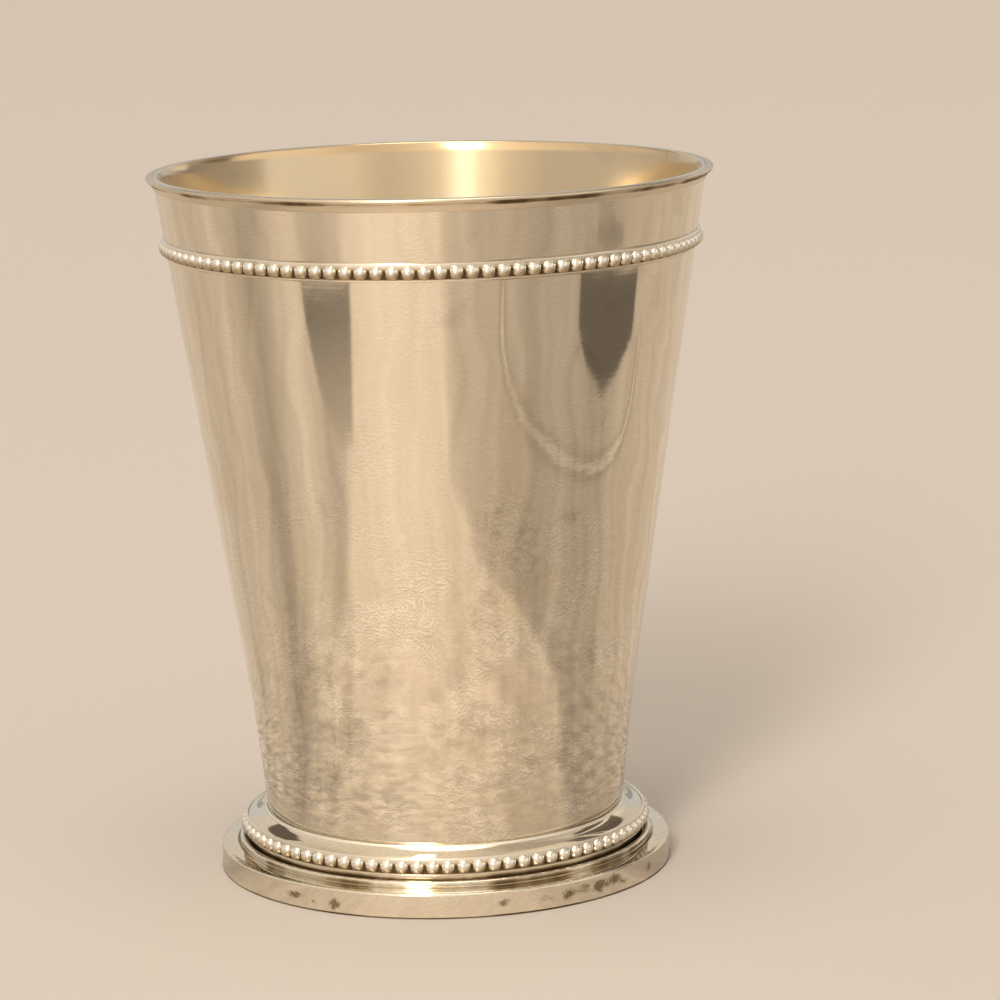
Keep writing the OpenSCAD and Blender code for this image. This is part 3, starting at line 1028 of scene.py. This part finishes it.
def soft_step(value, edge, width):
    """0 well below the edge and 1 well above it, along a smooth S."""
    t = np.clip((value - edge) / width + 0.5, 0, 1)
    return t * t * (3 - 2 * t)


def within(x, y, corners, width):
    """1 inside a convex shape, 0 outside: the least of the distances to its sides, through a
    soft step. Corners that run clockwise are turned round first."""
    corners = np.array(corners, float)
    if np.cross(corners[1] - corners[0], corners[2] - corners[1]) < 0:
        corners = corners[::-1]
    least = np.full(x.shape, 1e9)
    for p, q in zip(corners, np.roll(corners, -1, axis=0)):
        side = (q - p) / np.linalg.norm(q - p)
        least = np.minimum(least, side[0] * (y - p[1]) - side[1] * (x - p[0]))
    return soft_step(least, 0, width)


def distance_to(x, y, path):
    """The least distance to the straight stretches of a path."""
    least = np.full(x.shape, 1e9)
    path = np.array(path, float)
    for p, q in zip(path, path[1:]):
        t = ((x - p[0]) * (q - p)[0] + (y - p[1]) * (q - p)[1]) / ((q - p) @ (q - p))
        t = np.clip(t, 0, 1)
        least = np.minimum(least, np.hypot(x - p[0] - t * (q - p)[0], y - p[1] - t * (q - p)[1]))
    return least


def painted_cloth_shading(x, y):
    """How light the cloth is, 1 for the plain floor. It is painted light and shade: a base tone
    plus a bell curve for each fold, a lighter sheen in front, a few sines of a bent angle for
    narrow wavy folds, a light ridge with a dark one beside it, and the two painted dark patches.
    Near the foot the folds fade, and the cloth is a little darker but in front, a painted shade."""
    r = np.hypot(x, y)
    angle = np.degrees(np.arctan2(x, -y))
    tone = np.full(x.shape, CLOTH_TONE)
    for direction, width, change in FOLD_SHADING:
        away = (angle - direction + 180) % 360 - 180
        tone += change * np.exp(-(away / width) ** 2)
    left, right = np.interp(r, *SHEEN_LEFT), np.interp(r, *SHEEN_RIGHT)
    tone += SHEEN * soft_step(angle, left, SOFT_LEFT) * (1 - soft_step(angle, right, SOFT_RIGHT))
    tone += SHEEN_LINE * np.exp(-((angle - right - LINE_AT) / LINE_HALF) ** 2)
    a = bent = np.radians(angle)
    for aside, lean, turns, phase in WANDER:
        bent = bent + aside * np.sin(lean * r + turns * a + phase)
    for turns, lean, depth, phase in NARROW_FOLD_SHADING:
        tone += depth * np.sin(turns * bent + lean * r + phase)
    ridge = distance_to(x, y, RIDGE)
    for change, middle, width in RIDGE_LIGHT_AND_SHADE:
        tone += change * np.exp(-((ridge - middle) / width) ** 2)
    strength = FOLDS_LEAST + FOLDS_GAIN * soft_step(r, *FOLDS_START)
    tone = NEAR_TONE * (1 - strength) + tone * strength
    sides = soft_step(np.abs(angle), *SHADE_SIDES)
    tone -= FOOT_SHADE * (1 - soft_step(r, *SHADE_END)) * sides
    tone += (RIGHT_TONE - tone) * within(x, y, RIGHT_DARK_PATCH, RIGHT_SOFT)
    for shape in ZIGZAG_DARK_PATCHES:
        tone += (ZIGZAG_TONE - tone) * within(x, y, shape, ZIGZAG_SOFT)
    tone += (np.interp(r, *LEFT_TONES) - tone) * within(x, y, LEFT_DARK_PATCH, LEFT_SOFT)
    return tone * CLOTH_GAIN


# %% The floor
FLOOR_TURNS, FLOOR_DROP = 720, 0.02
FLOOR_RINGS = [*np.arange(30, 352, 2.0), 365, 400, 460, 560, 800, 1500, 4000]
WEAVE_ROWS, WEAVE_ALONG, WEAVE_BEND, BENDS_PER_M = 1500.0, 5.0, 5.0, 45.0
# distances from the axis in metres between which the weave comes and goes, and its strength
WEAVE_COMES, WEAVE_GOES, WEAVE_MOST, WEAVE_LEAST = (0.044, 0.054), (0.070, 0.140), 0.34, 0.03


def make_floor():
    """A disc of rings, 2 mm apart where the cup sees it best and far apart beyond. It lies
    0.02 mm below the cup's foot."""
    rings = np.array(FLOOR_RINGS)
    a = np.arange(FLOOR_TURNS) * 2 * math.pi / FLOOR_TURNS
    x, y = rings[:, None] * np.cos(a), rings[:, None] * np.sin(a)
    verts = np.stack([x, y, np.full(x.shape, -FLOOR_DROP)], axis=2).reshape(-1, 3)
    i = np.arange(len(rings) - 1)[:, None] * FLOOR_TURNS
    j = np.arange(FLOOR_TURNS)[None, :]
    after = (j + 1) % FLOOR_TURNS
    quads = np.stack([i + j, i + FLOOR_TURNS + j, i + FLOOR_TURNS + after, i + after], axis=2)
    quads = quads.reshape(-1, 4)
    mesh = bpy.data.meshes.new("floor")
    middle = [list(range(FLOOR_TURNS))]
    mesh.from_pydata((verts * MM).tolist(), [], quads.tolist() + middle)
    layer = mesh.attributes.new("tone", "FLOAT", "POINT")
    tone = painted_cloth_shading(verts[:, 0], verts[:, 1])
    layer.data.foreach_set("value", tone.astype(np.float32))
    piece = add_object("floor", mesh)
    print("floor faces", len(mesh.polygons), "tones", tone.min().round(2), tone.max().round(2))
    return piece


def floor_material():
    """A plain dull colour. For a ray that comes off a polished surface, it is multiplied by the
    cloth's painted light and shade and by its weave, which is noise with long narrow blobs along
    circles round the cup, 0.7 mm from row to row. The weave counts most in the ring that the wall's
    lower part shows."""
    material = bpy.data.materials.new("pale floor")
    material.use_nodes = True
    wire = Wiring(material.node_tree)
    shader = material.node_tree.nodes["Principled BSDF"]
    shader.inputs["Roughness"].default_value = 0.9
    shader.inputs["Specular IOR Level"].default_value = 0.2
    light_path = material.node_tree.nodes.new("ShaderNodeLightPath")
    dx, dy, distance, _ = wire.around()
    bent = wire.times(wire.noise(wire.place(), BENDS_PER_M, detail=1.0), WEAVE_BEND)
    rows = wire.plus(wire.times(distance, WEAVE_ROWS), bent)
    along = wire.vector(wire.times(dx, WEAVE_ALONG), wire.times(dy, WEAVE_ALONG), rows)
    weave = wire.noise(along, 1.0, detail=1.0)
    near = wire.times(wire.ramp(distance, *WEAVE_COMES),
                      wire.ramp(distance, *WEAVE_GOES, WEAVE_MOST, WEAVE_LEAST))
    weave = wire.times(wire.ramp(weave, 0.3, 0.7, -1.0, 1.0), near)
    tone = wire.times(wire.mark("tone"), wire.plus(weave, 1.0))
    seen = wire.times(wire.minus(tone, 1.0), light_path.outputs["Is Glossy Ray"])
    colour = wire.scaled(FLOOR_COLOUR[:3], wire.plus(seen, 1.0))
    wire.put(shader.inputs["Base Color"], colour)
    return material


floor = make_floor()
floor.data.materials.append(floor_material())

# %% [markdown]
# ## The light
# The room is drawn by curves of the direction round the cup. The low one is what the inside of
# the cup shows: a slow change from left to right and a window in front, a little to the left.
# The high one is what the foot's steps show, with dark corners of the room behind. Above both is
# a pale ceiling with a lamp, which gives the beads and rounded edges their bright tops.

# %% The room's light
ROOM_COLOUR = (0.90, 0.885, 0.86, 1)
HIGH_COLOUR = (1.0, 0.90, 0.77, 1)
SHUT_COLOUR = (1.12, 0.88, 0.70, 1)
LOW_ROOM = [
    # direction in degrees (0 in front, positive to the right), level
    (-180, 0.7), (-177, 0.6), (-174, 0.5), (-171, 0.5), (-168, 0.4), (-165.5, 0.45),
    (-163, 0.75), (-140, 0.62), (-129, 0.60), (-113, 0.66), (-100, 0.69), (-81, 0.72), (-66, 0.72),
    (-56, 0.71), (-46, 0.82), (-36, 0.94), (-30, 1.18), (-25, 1.30), (-20, 1.75), (-16, 2.1),
    (-12, 1.8), (-7, 1.22), (0, 0.98), (9, 0.86), (18, 0.80), (27, 0.87), (36, 1.0), (46, 1.0),
    (60, 1.0), (71, 1.02), (77, 0.94), (83, 0.60), (98, 0.46), (112, 0.42), (128, 0.34),
    (140, 0.5), (162, 0.7), (165, 0.4), (173, 0.4), (177, 0.6), (180, 0.7),
]
HIGH_ROOM = [
    (-180, 0.7), (-126, 0.78), (-100, 0.75), (-60, 0.95), (-30, 1.4), (-22, 2.5), (-17, 2.8),
    (-12, 2.5), (-4, 1.1), (10, 0.95), (30, 0.8), (50, 0.95), (85, 1.0), (98, 0.85), (103, 0.2),
    (120, 0.2), (124, 0.95), (145, 0.95), (160, 0.7), (180, 0.7),
]
CEILING = [
    (-180, 0.5), (-150, 0.7), (-120, 0.85), (-80, 0.95), (-40, 1.05), (-10, 1.1), (20, 0.95),
    (60, 0.65), (100, 0.55), (120, 0.6), (150, 0.8), (180, 0.5),
]
# the lamp's level, and the most that a curve's level may be
ZENITH, MOST = 4.2, 3.0
# heights in degrees between which one part of the room turns into the next
LOW_TO_HIGH, LOW_TO_HIGH_BEHIND = (13, 17), (6.4, 7.2)
HIGH_TO_CEILING, CEILING_TO_LAMP = (37, 44), (70, 78)
# directions in degrees, the soft edges of the half widths, and levels
WINDOW_AT, WINDOW_HALF, WINDOW_LEVEL = -17, (5.0, 8.0), 10.5
WINDOW_LOW, WINDOW_HIGH = (20, 22), (52, 58)
BEHIND_TURN, BEHIND_FROM = -4.75, (134, 136.5)
SHUT_DEPTH, SHUT_LOW, SHUT_LEFT, SHUT_RIGHT = 0.82, (24, 25.5), (38, 41), (46, 49)
GAP_AT, GAP_HALF = 141.5, (1.2, 2.4)


def room_curve(wire, share, levels):
    """A smooth curve through the levels, read at a share of the full circle."""
    node = wire.tree.nodes.new("ShaderNodeFloatCurve")
    curve = node.mapping.curves[0]
    for direction, level in levels[1:-1]:
        curve.points.new(direction / 360 + 0.5, level / MOST)
    curve.points[0].location = (0, levels[0][1] / MOST)
    curve.points[-1].location = (1, levels[-1][1] / MOST)
    for point in curve.points:
        point.handle_type = "AUTO_CLAMPED"
    node.mapping.update()
    wire.put(node.inputs["Value"], share)
    return wire.times(node.outputs["Value"], MOST)


def room_light():
    """The share of the circle is the angle of (x, -y) over a full turn. Each height blends one
    part of the room into the next: the low curve, the high one, the ceiling and a pale lamp
    straight above. Behind the cup the high curve starts lower, and the room is dark from 25 to
    about 40 degrees up, but for one light gap. The window is a tall bright patch."""
    world = bpy.data.worlds.new("room")
    world.use_nodes = True
    wire = Wiring(world.node_tree)
    direction = world.node_tree.nodes.new("ShaderNodeTexCoord").outputs["Generated"]
    x, y, z = wire.parts(direction)
    turn = wire.math("ARCTAN2", x, wire.times(y, -1.0))
    share = wire.plus(wire.times(turn, 0.5 / math.pi), 0.5)
    low, high = room_curve(wire, share, LOW_ROOM), room_curve(wire, share, HIGH_ROOM)
    ceiling = room_curve(wire, share, CEILING)

    def blend(factor, first, second):
        """The first level, plus the factor times the second less the first."""
        return wire.plus(first, wire.times(factor, wire.minus(second, first)))

    def rise(degrees):
        """0 below the lower height in degrees, 1 above the upper one."""
        return wire.ramp(z, *(math.sin(math.radians(d)) for d in degrees))

    def between(low_level, high_level, degrees):
        """The low level below the two heights, the high one above them."""
        return blend(rise(degrees), low_level, high_level)

    def away_from(at, half, near, far):
        """One value near a direction, another far from it, by the distance round the circle."""
        off = wire.math("ABSOLUTE", wire.minus(share, 0.5 + at / 360))
        return wire.ramp(off, half[0] / 360, half[1] / 360, near, far)

    pane = wire.times(away_from(WINDOW_AT, WINDOW_HALF, 1.0, 0.0), WINDOW_LEVEL)
    pane = wire.times(pane, rise(WINDOW_LOW))
    behind = away_from(BEHIND_TURN, BEHIND_FROM, 0.0, 1.0)
    level = blend(behind, between(low, high, LOW_TO_HIGH), between(low, high, LOW_TO_HIGH_BEHIND))
    level = between(level, ceiling, HIGH_TO_CEILING)
    dark = between(0.0, SHUT_DEPTH, SHUT_LOW)
    left, right = between(dark, 0.0, SHUT_LEFT), between(dark, 0.0, SHUT_RIGHT)
    shut = blend(wire.ramp(x, -0.1, 0.1), left, right)
    shut = wire.times(shut, wire.times(behind, away_from(GAP_AT, GAP_HALF, 0.0, 1.0)))
    level = wire.times(level, wire.minus(1.0, shut))
    level = between(level, ZENITH, CEILING_TO_LAMP)
    level = between(wire.plus(level, pane), level, WINDOW_HIGH)
    tint = wire.mix(between(0.0, 1.0, LOW_TO_HIGH), ROOM_COLOUR, HIGH_COLOUR)
    tint = wire.mix(shut, tint, SHUT_COLOUR)
    wire.put(world.node_tree.nodes["Background"].inputs["Color"], wire.scaled(tint, level))
    world.node_tree.nodes["Background"].inputs["Strength"].default_value = 1.0
    bpy.context.scene.world = world


room_light()

# %% The lamp
def soft_lamp(name, azimuth, elevation, distance, size, power, colour):
    """A flat lamp that faces the cup's middle from azimuth (0 is in front, positive to the
    right) and elevation, in degrees, at a distance in metres. The metal doesn't show it, because
    the room's window already stands in its place."""
    a, e = math.radians(azimuth), math.radians(elevation)
    back = np.array([math.sin(a) * math.cos(e), -math.cos(a) * math.cos(e), math.sin(e)])
    data = bpy.data.lights.new(name, "AREA")
    data.shape = "RECTANGLE"
    data.size, data.size_y = size
    data.energy, data.color = power, colour
    lamp = add_object(name, data)
    right = np.cross([0, 0, 1.0], back)
    right /= np.linalg.norm(right)
    matrix = np.eye(4)
    matrix[:3, 0], matrix[:3, 1], matrix[:3, 2] = right, np.cross(back, right), back
    matrix[:3, 3] = back * distance + [0, 0, CUP_H / 2 * MM]
    lamp.matrix_world = Matrix(matrix.tolist())
    lamp.visible_glossy = False
    return lamp


soft_lamp("key lamp", azimuth=WINDOW_AT, elevation=27, distance=3.0, size=(0.6, 1.6), power=33,
          colour=(1.0, 0.97, 0.92))

# %% [markdown]
# ## Finish
# The colours are shown through the Standard view transform. The dressed cup has to stay
# inside the CAD model's box.

# %% Finish
bpy.context.scene.view_settings.view_transform = "Standard"
